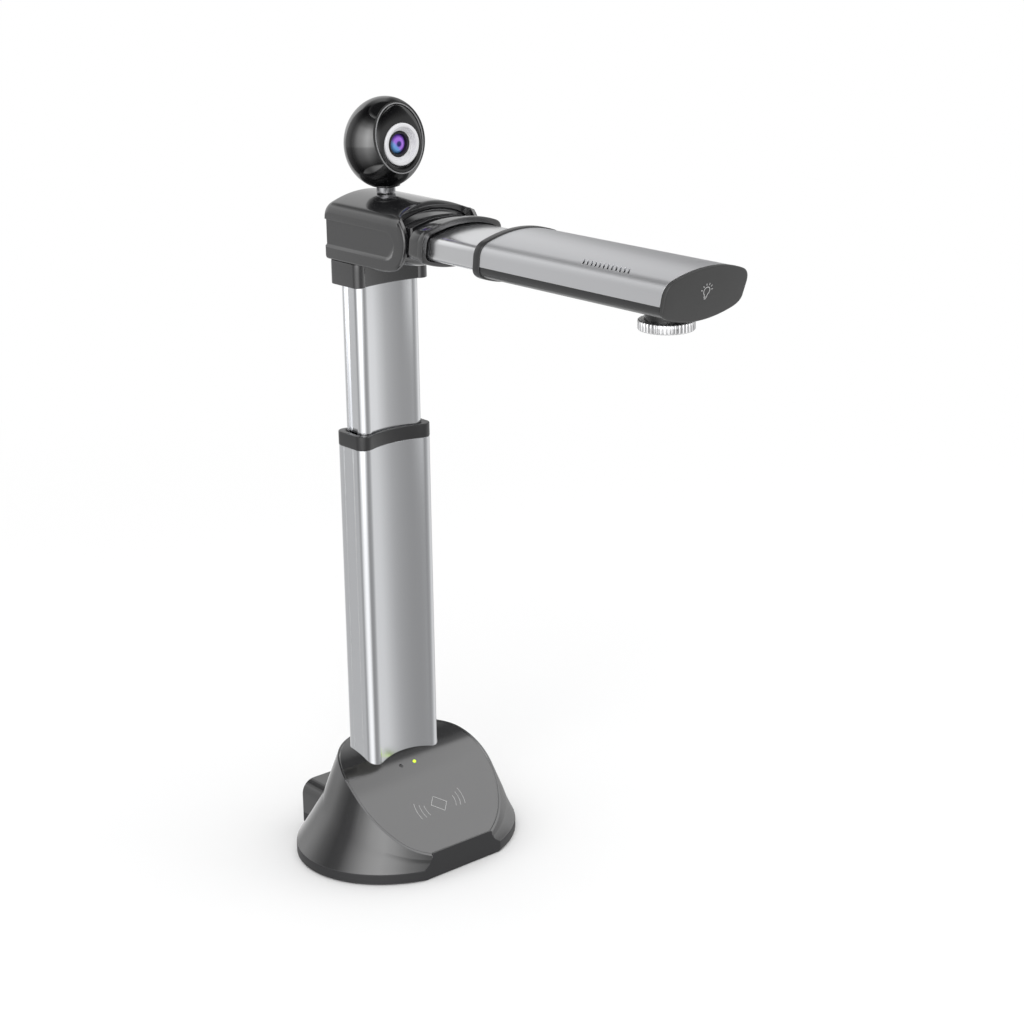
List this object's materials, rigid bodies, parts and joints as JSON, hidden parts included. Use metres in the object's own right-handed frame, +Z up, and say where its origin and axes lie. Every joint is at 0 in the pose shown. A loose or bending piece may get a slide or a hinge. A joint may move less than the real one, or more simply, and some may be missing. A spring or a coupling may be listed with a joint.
{
  "type": "document camera",
  "caption": "Desktop document camera: weighted card-reader base, telescopic column, folding and sliding camera arm, and a ball webcam on a swivel neck.",
  "frame": {"origin": "on the axis of the column, at desk level, under the rubber mat", "axes": "+Z up along the column, -Y along the camera arm towards the front of the base, +X to the right of somebody who faces along +Y"},
  "size_m": [0.147, 0.3213, 0.4646],
  "materials": {
    "base_plastic": "semi-gloss moulded dark grey plastic",
    "face_plastic": "satin mid grey plastic",
    "head_plastic": "high-gloss dark grey plastic",
    "dark_plastic": "satin black-grey plastic",
    "black_gloss": "piano-black gloss plastic",
    "satin_aluminium": "satin anodised silver aluminium",
    "bright_aluminium": "polished anodised aluminium",
    "steel": "plain bright steel",
    "iron": "as-cast iron",
    "chrome_trim": "polished chrome plate",
    "white_trim": "pearl white plastic",
    "rubber_mat": "matte black rubber",
    "circuit_board": "green solder-masked fibreglass board",
    "nylon": "natural nylon",
    "lens_glass": "coated lens glass with a violet sheen",
    "led_lens": "green light-emitting diode",
    "clear_window": "frosted clear plastic"
  },
  "bodies": {
    "base": {"base_shell": "base_plastic", "base_face_plate": "face_plastic", "base_bottom_plate": "steel", "ballast_weight": "iron", "foot_mat": "rubber_mat", "main_board": "circuit_board", "rear_port_panel": "dark_plastic", "usb_b_socket": "steel", "usb_a_socket_left": "steel", "usb_a_socket_right": "steel", "card_antenna_board": "circuit_board", "power_led": "led_lens", "microphone": "steel", "lower_column": "satin_aluminium", "column_foot": "dark_plastic", "foot_screw_left": "steel", "foot_screw_right": "steel", "column_collar": "dark_plastic"},
    "head": {"inner_column": "bright_aluminium", "column_slider": "nylon", "slider_spring": "steel", "column_bracket": "dark_plastic", "head_housing": "head_plastic", "head_base_plate": "steel", "hinge_pin": "steel", "hinge_washer_left": "steel", "hinge_washer_right": "steel", "webcam_clamp_nut": "steel"},
    "arm": {"arm_socket": "head_plastic", "inner_arm": "bright_aluminium", "arm_slider": "nylon"},
    "sleeve": {"sleeve_top_shell": "satin_aluminium", "sleeve_bottom_shell": "dark_plastic", "sleeve_rear_rim": "dark_plastic", "end_cap": "dark_plastic", "camera_board": "circuit_board", "lens_barrel": "dark_plastic", "lens_glass": "lens_glass", "led_board": "circuit_board", "led_window": "clear_window", "touch_key_board": "circuit_board"},
    "focus": {"focus_ring": "chrome_trim"},
    "neck": {"webcam_neck": "black_gloss"},
    "webcam": {"webcam_rear_shell": "black_gloss", "webcam_front_shell": "black_gloss", "webcam_trim_ring": "white_trim", "webcam_lens_barrel": "dark_plastic", "webcam_lens_glass": "lens_glass", "webcam_board": "circuit_board"}
  },
  "joints": [
    {"name": "column_slide", "type": "slide", "parent": "base", "child": "head", "axis": [0, 0, 1], "range_m": [-0.085, 0.06]},
    {"name": "arm_fold", "type": "hinge", "parent": "head", "child": "arm", "pos_m": [0, -0.043, 0.3896], "axis": [1, 0, 0], "range_deg": [0, 90]},
    {"name": "arm_slide", "type": "slide", "parent": "arm", "child": "sleeve", "axis": [0, -1, 0], "range_m": [-0.034, 0.02]},
    {"name": "focus_turn", "type": "hinge", "parent": "sleeve", "child": "focus", "pos_m": [0, -0.2393, 0.37], "axis": [0, 0, 1], "range_deg": [-75, 75]},
    {"name": "webcam_swivel", "type": "hinge", "parent": "head", "child": "neck", "pos_m": [0, -0.0087, 0.41], "axis": [0, 0, 1], "range_deg": [-150, 150]},
    {"name": "webcam_tilt", "type": "hinge", "parent": "neck", "child": "webcam", "pos_m": [0, -0.0087, 0.418], "axis": [1, 0, 0], "range_deg": [-12, 12]}
  ]
}
